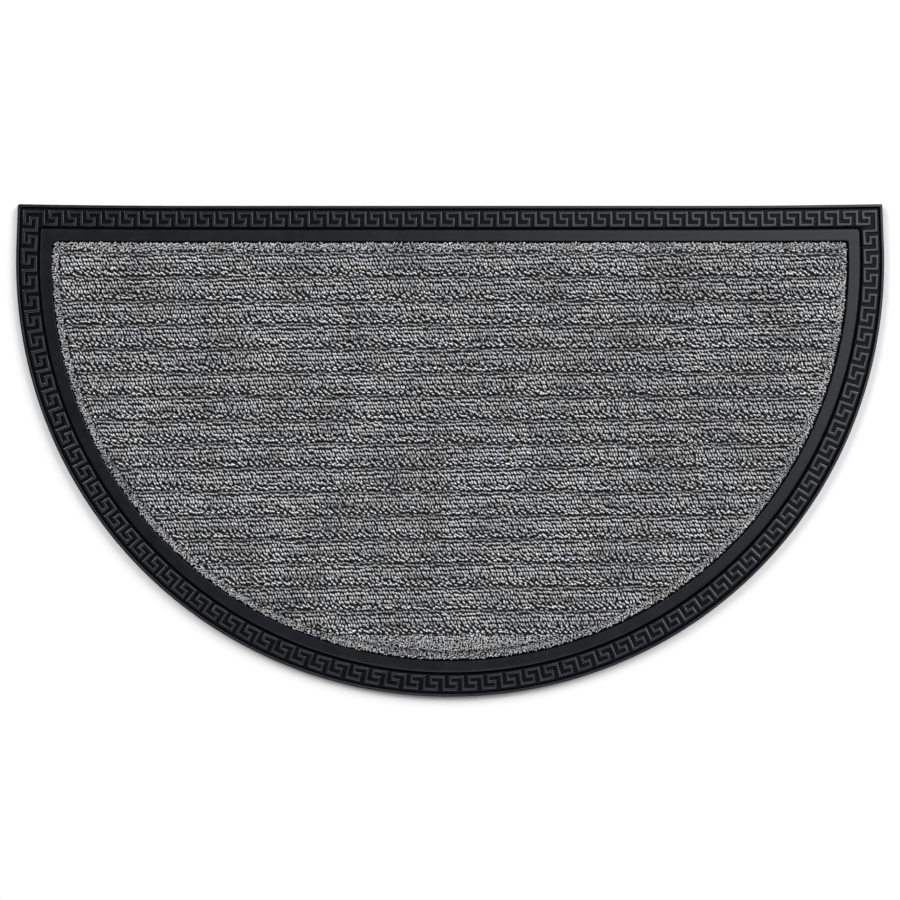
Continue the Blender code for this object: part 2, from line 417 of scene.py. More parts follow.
def key_line(shape, border):
    """Middle of the Greek key line, once round the mat."""
    left, right = (shape.corner(border.key_inset, side) for side in (-1, 1))
    back_step = (right.x - left.x) / (KEY_STEPS * border.back_repeats)
    round_length = 2 * shape.side_length(border.key_inset) + shape.arc_length(border.key_inset)
    round_step = round_length / (KEY_STEPS * border.round_repeats)
    points = []
    for along, inwards in key_run(border.back_repeats):
        points.append(Vector((right.x - along * back_step, right.y - inwards * border.key_grid)))
    for along, inwards in key_run(border.round_repeats):
        distance = along * round_step
        distance += look_up(KEY_CREEP, distance / round_length) * MM
        inset = border.key_inset + inwards * border.key_grid
        points.append(shape.round_point(distance, inset, border.key_inset))
    return [shape.flare(point) for point in points]


def soft_offset(points, distance, corner_radius):
    """Closed anticlockwise line moved outwards by a distance, with three points at each rounded corner."""
    moved = []
    for index, point in enumerate(points):
        before = (point - points[index - 1]).normalized()
        after = (points[(index + 1) % len(points)] - point).normalized()
        normal = Vector((before.y + after.y, -before.x - after.x)).normalized()
        corner = point + normal * distance / normal.dot(Vector((before.y, -before.x)))
        first, last = corner - before * corner_radius, corner + after * corner_radius
        moved += [first, (first + 2 * corner + last) / 4, last]
    return moved


def add_loop(mesh, points, height):
    return [mesh.verts.new((point.x, point.y, height)) for point in points]


def add_wall(mesh, lower, upper, finish=0):
    for index in range(len(lower)):
        corners = (lower[index - 1], lower[index], upper[index], upper[index - 1])
        mesh.faces.new(corners).material_index = finish


def add_flat(mesh, outer, hole=(), finish=0):
    """Fill a level area: one loop, or the ring between it and a hole."""
    corners = [*outer, *hole]
    faces = [list(range(len(outer))), list(range(len(outer), len(corners)))]
    places = [corner.co.xy for corner in corners]
    _, _, triangles, sources, _, origins = delaunay_2d_cdt(places, [], faces if hole else faces[:1], 1,
                                                           MERGE_DISTANCE)
    for triangle, origin in zip(triangles, origins):
        if 1 not in origin:
            face = mesh.faces.new([corners[sources[index][0]] for index in triangle])
            face.material_index = finish


def add_node(tree, kind, links=(), **settings):
    """Add a node. The links map its inputs to a value or to another node's output."""
    made = tree.nodes.new(kind)
    for name, value in settings.items():
        setattr(made, name, value)
    for key, value in dict(links).items():
        if isinstance(value, bpy.types.NodeSocket):
            tree.links.new(value, made.inputs[key])
        else:
            made.inputs[key].default_value = value
    return made


def new_material(name):
    """An empty material, its tree and its Principled shader."""
    material = bpy.data.materials.new(name)
    material.use_nodes = True
    tree = material.node_tree
    return material, tree, tree.nodes["Principled BSDF"]


def rubber_material(border, name, film, roughness, gloss):
    """Compression-moulded rubber, near black, with a film of dust on what shoes touch.

    The dull channels stay black between the key's dusty lines, and the band's wiped satin takes a
    soft light from the lamps.
    """
    material, tree, shader = new_material(name)
    place = add_node(tree, "ShaderNodeTexCoord").outputs["Object"]
    cloud = add_node(tree, "ShaderNodeTexNoise", {"Vector": place, "Scale": 1 / (11 * MM), "Detail": 6.0,
                                                  "Roughness": 0.7}).outputs[0]
    amount = add_node(tree, "ShaderNodeMapRange", {"Value": cloud, "From Min": 0.3, "From Max": 0.7,
                                                   "To Min": 0.6 * film, "To Max": 1.4 * film})
    body = add_node(tree, "ShaderNodeMix", {"Factor": amount.outputs[0]}, data_type="RGBA")
    body.inputs[6].default_value = border.rubber
    body.inputs[7].default_value = border.dust
    specks = add_node(tree, "ShaderNodeTexVoronoi", {"Vector": place, "Scale": 1 / (9 * MM)})
    speck = add_node(tree, "ShaderNodeMapRange", {
        "Value": specks.outputs["Distance"], "From Min": 0.03, "From Max": 0.06,
        "To Min": film, "To Max": 0.0})
    dusted = add_node(tree, "ShaderNodeMix", {"Factor": speck.outputs[0], 6: body.outputs[2]},
                      data_type="RGBA")
    dusted.inputs[7].default_value = border.dust
    tree.links.new(dusted.outputs[2], shader.inputs["Base Color"])
    grain = add_node(tree, "ShaderNodeTexNoise", {"Vector": place, "Scale": 1 / (1.6 * MM), "Detail": 4.0})
    bump = add_node(tree, "ShaderNodeBump", {"Height": grain.outputs[0], "Strength": 0.3,
                                             "Distance": 0.05 * MM})
    tree.links.new(bump.outputs[0], shader.inputs["Normal"])
    patchy = add_node(tree, "ShaderNodeMapRange", {"Value": cloud, "From Min": 0.3, "From Max": 0.7,
                                                   "To Min": roughness - 0.04, "To Max": roughness + 0.04})
    tree.links.new(patchy.outputs[0], shader.inputs["Roughness"])
    shader.inputs["Specular IOR Level"].default_value = gloss
    shader.inputs["Specular Tint"].default_value = linear(GLOSS_TINT)
    return material


def yarn_material(carpet):
    """Solution-dyed polypropylene loop yarn.

    Light and dark fibres are spun together, so neighbouring loops differ in tone. The ribs' painted light
    and shade ride on the same tone, and each loop's colour is painted darker towards its feet as shade.
    """
    material, tree, shader = new_material("Heather loop yarn")
    tone = add_node(tree, "ShaderNodeAttribute", attribute_name="tone").outputs["Fac"]
    rise = add_node(tree, "ShaderNodeAttribute", attribute_name="rise").outputs["Fac"]
    place = add_node(tree, "ShaderNodeTexCoord").outputs["Object"]
    fibre = add_node(tree, "ShaderNodeTexNoise", {"Vector": place, "Scale": 1 / (0.9 * MM), "Detail": 1.0})
    mixed = add_node(tree, "ShaderNodeMath", {0: fibre.outputs[0], 1: FIBRE_CONTRAST, 2: tone},
                     operation="MULTIPLY_ADD")
    cloud = add_node(tree, "ShaderNodeTexNoise", {"Vector": place, "Scale": 1 / (35 * MM), "Detail": 2.0})
    clouded = add_node(tree, "ShaderNodeMath", {0: cloud.outputs[0], 1: YARN_CLOUDING, 2: mixed.outputs[0]},
                       operation="MULTIPLY_ADD")
    shifted = add_node(tree, "ShaderNodeMath", {0: clouded.outputs[0],
                                                1: (FIBRE_CONTRAST + YARN_CLOUDING) / 2},
                       operation="SUBTRACT")
    ramp = add_node(tree, "ShaderNodeValToRGB", {"Fac": shifted.outputs[0]})
    ramp.color_ramp.elements[0].color = carpet.dark_yarn
    ramp.color_ramp.elements[1].color = carpet.light_yarn
    ramp.color_ramp.elements.new(0.5).color = carpet.middle_yarn
    drift = add_node(tree, "ShaderNodeTexNoise", {"Vector": place, "Scale": 1 / (25 * MM), "Detail": 4.0})
    cast = add_node(tree, "ShaderNodeMix", {"Factor": drift.outputs[0], 6: linear(WARM_CAST),
                                            7: linear(COOL_CAST)}, data_type="RGBA")
    tinted = add_node(tree, "ShaderNodeMix", {"Factor": 1.0, 6: ramp.outputs[0], 7: cast.outputs[2]},
                      data_type="RGBA", blend_type="MULTIPLY")
    # Painted shade: the yarn is mixed towards the ground's near-black by its height in the loop, darkest at the
    # feet
    foot = add_node(tree, "ShaderNodeMapRange", {"Value": rise, "From Min": 0.28, "From Max": 0.86,
                                                 "To Min": 0.92, "To Max": 0.0})
    shaded = add_node(tree, "ShaderNodeMix", {"Factor": foot.outputs[0], 6: tinted.outputs[2]},
                      data_type="RGBA")
    shaded.inputs[7].default_value = carpet.ground
    tree.links.new(shaded.outputs[2], shader.inputs["Base Color"])
    shader.inputs["Roughness"].default_value = 0.75
    shader.inputs["Sheen Weight"].default_value = 0.1
    return material


def ground_material(carpet):
    """Backing cloth and yarn feet.

    Between the loops only the yarn's feet and the backing show, dark and without gloss; the feet's darkness is
    painted shade.
    """
    material, tree, shader = new_material("Pile ground")
    place = add_node(tree, "ShaderNodeTexCoord").outputs["Object"]
    fuzz = add_node(tree, "ShaderNodeTexNoise", {"Vector": place, "Scale": 1 / (0.8 * MM), "Detail": 3.0})
    shade = add_node(tree, "ShaderNodeMapRange", {"Value": fuzz.outputs[0], "From Min": 0.35,
                                                  "From Max": 0.65, "To Min": 0.0, "To Max": 0.4})
    mixed = add_node(tree, "ShaderNodeMix", {"Factor": shade.outputs[0]}, data_type="RGBA")
    mixed.inputs[6].default_value = carpet.ground
    # The yarn's feet in painted shade, at 0.3 of the dark yarn's colour
    mixed.inputs[7].default_value = (*[0.3 * part for part in carpet.dark_yarn[:3]], 1.0)
    tree.links.new(mixed.outputs[2], shader.inputs["Base Color"])
    shader.inputs["Roughness"].default_value = 0.95
    return material


def add_object(name, mesh):
    item = bpy.data.objects.new(name, mesh)
    bpy.context.scene.collection.objects.link(item)
    return item


def build_rubber_base(outline, border):
    """The moulded base: its rim, key line, band and the seat for the carpet, as one closed mesh."""
    shape = HalfRound(outline)
    mesh = bmesh.new()
    rim = []
    for inset, height in RIM_SECTION:
        share = inset / RIM_SECTION[-1][0]
        corner = border.outer_corner + (border.groove_corner - border.outer_corner) * share
        rim.append(add_loop(mesh, shape.ring(inset * MM, corner, corner), height * MM))
    band = []
    for inset, height in BAND_SECTION:
        share = (inset - BAND_SECTION[0][0]) / (BAND_SECTION[-1][0] - BAND_SECTION[0][0])
        left = border.band_left + (border.seat_left - border.band_left) * share
        right = border.band_right + (border.seat_right - border.band_right) * share
        band.append(add_loop(mesh, shape.ring(inset * MM, left, right), height * MM))
    middle = key_line(shape, border)
    section = list(KEY_SECTION) + [(-distance, height) for distance, height in KEY_SECTION[::-1]]
    key = [add_loop(mesh, soft_offset(middle, distance * MM, border.key_corner), height * MM)
           for distance, height in section]
    for rings, worn in ((rim, DUSTY), (key, DUSTY), (band, WIPED)):
        for lower, upper in zip(rings, rings[1:]):
            low = min(lower[0].co.z, upper[0].co.z)
            add_wall(mesh, lower, upper, worn if low > WORN * MM else DULL)
    add_flat(mesh, rim[0])
    add_flat(mesh, rim[-1], key[0], SATIN)
    add_flat(mesh, key[-1], band[0], SATIN)
    add_flat(mesh, band[-1])
    bmesh.ops.recalc_face_normals(mesh, faces=mesh.faces)
    data = bpy.data.meshes.new("rubber_border_base")
    mesh.to_mesh(data)
    mesh.free()
    for finish in RUBBER_FINISHES:
        data.materials.append(rubber_material(border, *finish))
    data.shade_smooth()
    data.set_sharp_from_angle(angle=math.radians(40))
    return add_object("rubber_border_base", data)


def surface_group(outline, carpet):
    """Node group that gives the height of the pile at a place, and how far inside the edge it is."""
    shape = HalfRound(outline)
    tree = bpy.data.node_groups.new("Ribbed pile surface", "GeometryNodeTree")
    face = tree.interface
    face.new_socket("Place", in_out="INPUT", socket_type="NodeSocketVector")
    sizes = {
        "Radius": shape.radius - carpet.edge,
        "Centre Y": shape.centre_y,
        "Back Y": shape.centre_y + shape.centre_to_back - carpet.edge,
        "Left Corner": LEFT_CORNER * MM,
        "Right Corner": RIGHT_CORNER * MM,
        "Rib Pitch": carpet.rib_pitch,
        "First Crease": carpet.first_crease,
        "Crease Depth": carpet.crease_depth,
        "Crown Height": PANEL_HIGH.z,
        "Margin": carpet.margin,
        "Plain Front": carpet.plain_front,
        "Margin Height": 5.4 * MM,
        "Edge Height": 4.2 * MM,
        "Edge Rounding": 1.2 * MM,
        "Rib End": 2.6 * MM,
        "Round Swell": shape.round_swell,
    }
    for name, value in sizes.items():
        face.new_socket(name, in_out="INPUT", socket_type="NodeSocketFloat").default_value = value
    for name in ("Height", "Inset", "Push", "Looseness", "Tone", "Lean", "Margin Share", "Plain"):
        face.new_socket(name, in_out="OUTPUT", socket_type="NodeSocketFloat")
    given = add_node(tree, "NodeGroupInput").outputs

    def compute(operation, *values):
        return add_node(tree, "ShaderNodeMath", dict(enumerate(values)), operation=operation).outputs[0]

    place = add_node(tree, "ShaderNodeSeparateXYZ", {0: given["Place"]}).outputs
    across = compute("ABSOLUTE", place["X"])
    behind = compute("SUBTRACT", place["Y"], given["Centre Y"])
    square = compute("MULTIPLY_ADD", across, across, compute("MULTIPLY", behind, behind))
    double_sine = compute("MULTIPLY", compute("DIVIDE", compute("MULTIPLY", across, behind), square), 2.0)
    swell = compute("MULTIPLY", compute("MULTIPLY", double_sine, double_sine), given["Round Swell"])
    circle = compute("SUBTRACT", compute("SQRT", square), swell)
    side = compute("MULTIPLY_ADD", across, math.cos(shape.side_angle),
                   compute("MULTIPLY", behind, math.sin(shape.side_angle)))
    above = compute("GREATER_THAN", behind, compute("MULTIPLY", across, math.tan(shape.side_angle)))
    reach = add_node(tree, "ShaderNodeMix", {"Factor": above, 2: circle, 3: side}).outputs[0]
    from_round = compute("SUBTRACT", given["Radius"], reach)
    from_back = compute("SUBTRACT", given["Back Y"], place["Y"])
    on_right = compute("GREATER_THAN", place["X"], 0.0)
    corner = add_node(tree, "ShaderNodeMix", {"Factor": on_right, 2: given["Left Corner"],
                                              3: given["Right Corner"]}).outputs[0]
    short_round = compute("MAXIMUM", compute("SUBTRACT", corner, from_round), 0.0)
    short_back = compute("MAXIMUM", compute("SUBTRACT", corner, from_back), 0.0)
    short = compute("SQRT", compute("MULTIPLY_ADD", short_round, short_round,
                                    compute("MULTIPLY", short_back, short_back)))
    beyond = compute("MAXIMUM", compute("SUBTRACT", compute("MINIMUM", from_round, from_back), corner), 0.0)
    inset = compute("ADD", compute("SUBTRACT", corner, short), beyond)

    wander = add_node(tree, "ShaderNodeTexNoise", {"Vector": given["Place"], "Scale": 1 / (45 * MM),
                                                   "Detail": 1.0}).outputs[0]
    drift = compute("MULTIPLY_ADD", wander, 0.8 * MM, -0.4 * MM)
    ahead = compute("ADD", compute("SUBTRACT", given["First Crease"], behind), drift)
    share = compute("FRACT", compute("DIVIDE", ahead, given["Rib Pitch"]))
    curves = []
    for table in (RIB_PROFILE, RIB_PAINTED_SHADE, RIB_LEAN, RIB_LOOSENESS):
        node = add_node(tree, "ShaderNodeFloatCurve", {"Value": share})
        points = node.mapping.curves[0].points
        for index, (along, level) in enumerate(table):
            point = points[index] if index < 2 else points.new(along, level)
            point.location = (along, level)
        node.mapping.update()
        curves.append(node.outputs[0])
    profile, tone, lean, looseness = curves
    ribbed = compute("SUBTRACT", given["Crown Height"], compute("MULTIPLY", profile, given["Crease Depth"]))
    inwards = add_node(tree, "ShaderNodeMapRange", {
        "Value": compute("SUBTRACT", inset, given["Margin"]), "From Min": 0.0, "From Max": given["Rib End"],
        "To Min": given["Margin Height"], "To Max": ribbed}, interpolation_type="SMOOTHSTEP").outputs[0]
    height = add_node(tree, "ShaderNodeMapRange", {
        "Value": inset, "From Min": 0.0, "From Max": given["Edge Rounding"],
        "To Min": given["Edge Height"], "To Max": inwards}).outputs[0]
    from_crown = compute("MULTIPLY_ADD", share, 2 * math.pi, -2 * math.pi * CROWN)
    pushes = [compute("MULTIPLY", compute("SINE", from_crown), ROW_SPREAD * MM)]
    for crease, push, reach in CREASES:
        turned = compute("FRACT", compute("ADD", share, 0.5 - crease))
        ahead_of = compute("MULTIPLY", compute("SUBTRACT", turned, 0.5), given["Rib Pitch"])
        near = compute("MAXIMUM", compute("MULTIPLY_ADD", compute("ABSOLUTE", ahead_of), -1 / (reach * MM),
                                          1.0), 0.0)
        pushes.append(compute("MULTIPLY", compute("SIGN", ahead_of), compute("MULTIPLY", near, push * MM)))
    edging = add_node(tree, "ShaderNodeMapRange", {
        "Value": compute("SUBTRACT", inset, given["Margin"]), "From Min": 0.0, "From Max": given["Rib End"],
        "To Min": 1.0, "To Max": 0.0}).outputs[0]
    plain = compute("LESS_THAN", compute("ADD", behind, given["Radius"]), given["Plain Front"])
    margin = compute("MAXIMUM", edging, plain)
    push = compute("MULTIPLY", compute("ADD", compute("ADD", *pushes[:2]), pushes[2]),
                   compute("SUBTRACT", 1.0, margin))
    # Painted light and shade across the ribs, levelled to one plain tone in the margin
    tone = add_node(tree, "ShaderNodeMix", {"Factor": margin, 2: tone, 3: MARGIN_TONE}).outputs[0]
    add_node(tree, "NodeGroupOutput", {"Height": height, "Inset": inset, "Push": push,
                                       "Looseness": looseness, "Tone": tone, "Lean": lean,
                                       "Margin Share": margin, "Plain": plain})
    return tree


def loop_mesh():
    """One loop of yarn: a low closed arch of four sides, along X, in a unit cube."""
    mesh = bmesh.new()
    rings = []
    for along, top, width in ARCH:
        middle = top - YARN_HEIGHT / 2
        rings.append([mesh.verts.new((along, width * across / 2, middle + YARN_HEIGHT * up / 2))
                      for across, up in ((0, 1), (1, 0), (0, -1), (-1, 0))])
    for lower, upper in zip(rings, rings[1:]):
        add_wall(mesh, lower, upper)
    for ring, end in ((rings[0], -0.5), (rings[-1], 0.5)):
        foot = mesh.verts.new((end, 0.0, 0.0))
        for index in range(len(ring)):
            mesh.faces.new((ring[index - 1], ring[index], foot))
    bmesh.ops.recalc_face_normals(mesh, faces=mesh.faces)
    data = bpy.data.meshes.new("yarn_loop")
    mesh.to_mesh(data)
    mesh.free()
    data.shade_smooth()
    # Height in the loop, which sets the yarn's painted shade towards its feet
    rise = data.attributes.new("rise", "FLOAT", "POINT")
    rise.data.foreach_set("value", [vertex.co.z for vertex in data.vertices])
    return data


def loops_group(surface):
    """Node group that sets a leaning yarn loop on each point."""
    tree = bpy.data.node_groups.new("Yarn loops", "GeometryNodeTree")
    face = tree.interface
    face.new_socket("Points", in_out="INPUT", socket_type="NodeSocketGeometry")
    face.new_socket("Loop", in_out="INPUT", socket_type="NodeSocketObject")
    face.new_socket("Yarn", in_out="INPUT", socket_type="NodeSocketMaterial")
    face.new_socket("Seed", in_out="INPUT", socket_type="NodeSocketInt")
    for name in ("Pile Depth", "Loop Length", "Loop Width"):
        face.new_socket(name, in_out="INPUT", socket_type="NodeSocketFloat")
    face.new_socket("Geometry", in_out="OUTPUT", socket_type="NodeSocketGeometry")
    given = add_node(tree, "NodeGroupInput").outputs

    def compute(operation, *values):
        return add_node(tree, "ShaderNodeMath", dict(enumerate(values)), operation=operation).outputs[0]

    def chance(number, low, high):
        seed = compute("ADD", given["Seed"], float(number))
        return add_node(tree, "FunctionNodeRandomValue", {2: low, 3: high, "Seed": seed}).outputs[1]

    here = add_node(tree, "GeometryNodeInputPosition").outputs[0]
    relief = add_node(tree, "GeometryNodeGroup", {"Place": here}, node_tree=surface).outputs
    parts = add_node(tree, "ShaderNodeSeparateXYZ", {0: here}).outputs
    foot = compute("SUBTRACT", relief["Height"], given["Pile Depth"])
    planted = add_node(tree, "GeometryNodeSetPosition", {
        "Geometry": given["Points"],
        "Position": add_node(tree, "ShaderNodeCombineXYZ", {0: parts["X"], 1: parts["Y"], 2: foot}).outputs[0]})

    field = add_node(tree, "ShaderNodeTexNoise", {"Vector": here, "Scale": 1 / (30 * MM), "Detail": 2.0})
    swirl = compute("MULTIPLY_ADD", field.outputs[0], 1.6, -0.8)
    pressed = compute("MULTIPLY_ADD", relief["Lean"], -math.pi / 2, swirl)
    tumbled = compute("MULTIPLY", relief["Margin Share"], chance(10, -1.4, 1.4))
    turn = compute("ADD", compute("ADD", pressed, tumbled), chance(3, -0.35, 0.35))
    turned = add_node(tree, "ShaderNodeCombineXYZ", {0: chance(4, -0.3, 0.3), 1: chance(5, -0.35, 0.35),
                                                     2: turn}).outputs[0]
    stretch = compute("MULTIPLY_ADD", relief["Lean"], LOOP_STRETCH, chance(6, 0.8, 1.2))
    grown = add_node(tree, "ShaderNodeCombineXYZ", {
        0: compute("MULTIPLY", given["Loop Length"], stretch),
        1: compute("MULTIPLY", given["Loop Width"], chance(7, 0.8, 1.2)),
        2: compute("MULTIPLY", given["Pile Depth"], chance(8, 0.85, 1.1))}).outputs[0]
    loops = add_node(tree, "GeometryNodeInstanceOnPoints", {
        "Points": planted.outputs[0], "Rotation": turned, "Scale": grown,
        "Instance": add_node(tree, "GeometryNodeObjectInfo", {"Object": given["Loop"]}).outputs["Geometry"]})

    streak_place = add_node(tree, "ShaderNodeVectorMath", {0: here, 1: (45.0, 330.0, 0.0)},
                            operation="MULTIPLY").outputs[0]
    streak = add_node(tree, "ShaderNodeTexNoise", {"Vector": streak_place, "Scale": 1.0, "Detail": 2.0})
    patch = add_node(tree, "ShaderNodeMapRange", {"Value": streak.outputs[0], "From Min": 0.3,
                                                  "From Max": 0.7, "To Min": -0.06, "To Max": 0.06})
    mixed = compute("MULTIPLY_ADD", relief["Margin Share"], chance(11, -0.35, 0.2), chance(9, -0.1, 0.1))
    # The stored tone holds the yarn's random tone plus the ribs' painted light and shade
    tone = compute("ADD", compute("ADD", patch.outputs[0], relief["Tone"]), mixed)
    toned = add_node(tree, "GeometryNodeStoreNamedAttribute", {
        "Geometry": loops.outputs[0], "Name": "tone", "Value": tone}, data_type="FLOAT", domain="INSTANCE")
    solid = add_node(tree, "GeometryNodeRealizeInstances", {"Geometry": toned.outputs[0]})
    finished = add_node(tree, "GeometryNodeSetMaterial", {"Geometry": solid.outputs[0],
                                                          "Material": given["Yarn"]})
    add_node(tree, "NodeGroupOutput", {"Geometry": finished.outputs[0]})
    return tree


def rows_tree(surface, loops):
    """Node tree that lays out staggered rows of yarn loops, parted at the creases."""
    tree = bpy.data.node_groups.new("Loop rows", "GeometryNodeTree")
    face = tree.interface
    face.new_socket("Geometry", in_out="INPUT", socket_type="NodeSocketGeometry")
    face.new_socket("Loop", in_out="INPUT", socket_type="NodeSocketObject")
    face.new_socket("Yarn", in_out="INPUT", socket_type="NodeSocketMaterial")
    for name in ("Rows", "Loops", "First Row", "Seed"):
        face.new_socket(name, in_out="INPUT", socket_type="NodeSocketInt")
    for name in ("Row Spacing", "Loop Spacing", "Row Slope", "Start Y", "Edge Gap", "Pile Depth",
                 "Loop Length", "Loop Width"):
        face.new_socket(name, in_out="INPUT", socket_type="NodeSocketFloat")
    face.new_socket("Geometry", in_out="OUTPUT", socket_type="NodeSocketGeometry")
    given = add_node(tree, "NodeGroupInput").outputs

    def compute(operation, *values):
        return add_node(tree, "ShaderNodeMath", dict(enumerate(values)), operation=operation).outputs[0]

    def chance(number, low, high):
        seed = compute("ADD", given["Seed"], float(number))
        return add_node(tree, "FunctionNodeRandomValue", {2: low, 3: high, "Seed": seed}).outputs[1]

    index = add_node(tree, "GeometryNodeInputIndex").outputs[0]
    row_in_piece = compute("FLOOR", compute("DIVIDE", index, given["Loops"]))
    row = compute("ADD", row_in_piece, given["First Row"])
    column = compute("SUBTRACT", index, compute("MULTIPLY", row_in_piece, given["Loops"]))
    middle = compute("MULTIPLY", given["Loops"], 0.5)
    along = compute("ADD", compute("SUBTRACT", column, middle), compute("FRACT", compute("MULTIPLY", row, 0.55)))
    x = compute("ADD", compute("MULTIPLY", along, given["Loop Spacing"]), chance(1, -0.3 * MM, 0.3 * MM))
    straight = compute("SUBTRACT", given["Start Y"], compute("MULTIPLY", row, given["Row Spacing"]))
    lean = compute("MULTIPLY", x, given["Row Slope"])
    wave_place = add_node(tree, "ShaderNodeCombineXYZ", {0: x, 1: compute("MULTIPLY", row, 0.4 * MM)})
    wave = add_node(tree, "ShaderNodeTexNoise", {"Vector": wave_place.outputs[0], "Scale": 1 / (60 * MM),
                                                 "Detail": 2.0}).outputs[0]
    bend = compute("MULTIPLY_ADD", wave, 2.4 * MM, -1.2 * MM)
    y = compute("ADD", compute("ADD", straight, lean), bend)
    flat = add_node(tree, "ShaderNodeCombineXYZ", {0: x, 1: y}).outputs[0]
    relief = add_node(tree, "GeometryNodeGroup", {"Place": flat}, node_tree=surface).outputs
    strayed = compute("MULTIPLY_ADD", relief["Looseness"], chance(2, -ROW_JITTER * MM, ROW_JITTER * MM), y)
    # Where the rows are loose, every other loop steps a quarter row forwards, the rest as far back
    ruffled = add_node(tree, "ShaderNodeMapRange", {"Value": relief["Looseness"], "From Min": NEAT,
                                                    "From Max": 1.0}).outputs[0]
    turn = compute("SUBTRACT", compute("FRACT", compute("MULTIPLY", column, 0.5)), 0.25)
    step = compute("MULTIPLY", compute("MULTIPLY", turn, ruffled), given["Row Spacing"])
    place = add_node(tree, "ShaderNodeCombineXYZ", {
        0: x, 1: compute("ADD", compute("SUBTRACT", strayed, relief["Push"]), step)}).outputs[0]
    count = compute("MULTIPLY", given["Rows"], given["Loops"])
    points = add_node(tree, "GeometryNodePoints", {"Count": count, "Position": place}).outputs[0]
    here = add_node(tree, "GeometryNodeInputPosition").outputs[0]
    there = add_node(tree, "GeometryNodeGroup", {"Place": here}, node_tree=surface).outputs
    outside = compute("MAXIMUM", compute("LESS_THAN", there["Inset"], given["Edge Gap"]), there["Plain"])
    kept = add_node(tree, "GeometryNodeDeleteGeometry", {"Geometry": points, "Selection": outside})
    shared = {name: given[name] for name in ("Loop", "Yarn", "Seed", "Pile Depth", "Loop Length", "Loop Width")}
    made = add_node(tree, "GeometryNodeGroup", {"Points": kept.outputs[0], **shared}, node_tree=loops)
    add_node(tree, "NodeGroupOutput", {"Geometry": made.outputs[0]})
    return tree


def edge_tree(surface, loops):
    """Node tree that follows the carpet's edge and its plain front with yarn loops."""
    tree = bpy.data.node_groups.new("Edge loops", "GeometryNodeTree")
    face = tree.interface
    face.new_socket("Geometry", in_out="INPUT", socket_type="NodeSocketGeometry")
    face.new_socket("Loop", in_out="INPUT", socket_type="NodeSocketObject")
    face.new_socket("Yarn", in_out="INPUT", socket_type="NodeSocketMaterial")
    face.new_socket("Seed", in_out="INPUT", socket_type="NodeSocketInt")
    for name in ("Loop Spacing", "Edge Gap", "Pile Depth", "Loop Length", "Loop Width"):
        face.new_socket(name, in_out="INPUT", socket_type="NodeSocketFloat")
    face.new_socket("Geometry", in_out="OUTPUT", socket_type="NodeSocketGeometry")
    given = add_node(tree, "NodeGroupInput").outputs

    def compute(operation, *values):
        return add_node(tree, "ShaderNodeMath", dict(enumerate(values)), operation=operation).outputs[0]

    line = add_node(tree, "GeometryNodeMeshToCurve", {"Mesh": given["Geometry"]})
    laid = add_node(tree, "GeometryNodeCurveToPoints", {"Curve": line.outputs[0],
                                                        "Length": given["Loop Spacing"]}, mode="LENGTH")
    here = add_node(tree, "GeometryNodeInputPosition").outputs[0]
    relief = add_node(tree, "GeometryNodeGroup", {"Place": here}, node_tree=surface).outputs
    ribbed = compute("MULTIPLY", compute("GREATER_THAN", relief["Inset"], given["Edge Gap"]),
                     compute("SUBTRACT", 1.0, relief["Plain"]))
    points = add_node(tree, "GeometryNodeDeleteGeometry", {"Geometry": laid.outputs[0], "Selection": ribbed})
    low, high = ((*[(shift + stray) * MM for shift in EDGE_SHIFT], 0.0)
                 for stray in (-EDGE_JITTER, EDGE_JITTER))
    jitter = add_node(tree, "FunctionNodeRandomValue", {"Min": low, "Max": high, "Seed": given["Seed"]},
                      data_type="FLOAT_VECTOR")
    moved = add_node(tree, "GeometryNodeSetPosition", {"Geometry": points.outputs[0],
                                                       "Offset": jitter.outputs[0]})
    shared = {name: given[name] for name in ("Loop", "Yarn", "Seed", "Pile Depth", "Loop Length", "Loop Width")}
    made = add_node(tree, "GeometryNodeGroup", {"Points": moved.outputs[0], **shared}, node_tree=loops)
    add_node(tree, "NodeGroupOutput", {"Geometry": made.outputs[0]})
    return tree


def apply_tree(name, source, tree, values):
    """Run a node tree on an object, with its inputs set by name, and return the plain result."""
    modifier = source.modifiers.new(tree.name, "NODES")
    modifier.node_group = tree
    for item in tree.interface.items_tree:
        if item.in_out == "INPUT" and item.name in values:
            modifier[item.identifier] = values[item.name]
    shown = bpy.context.evaluated_depsgraph_get()
    mesh = bpy.data.meshes.new_from_object(source.evaluated_get(shown), preserve_all_data_layers=True,
                                           depsgraph=shown)
    mesh.name = name
    source.modifiers.remove(modifier)
    if not mesh.polygons:
        raise RuntimeError(f"{name} came out empty")
    return mesh


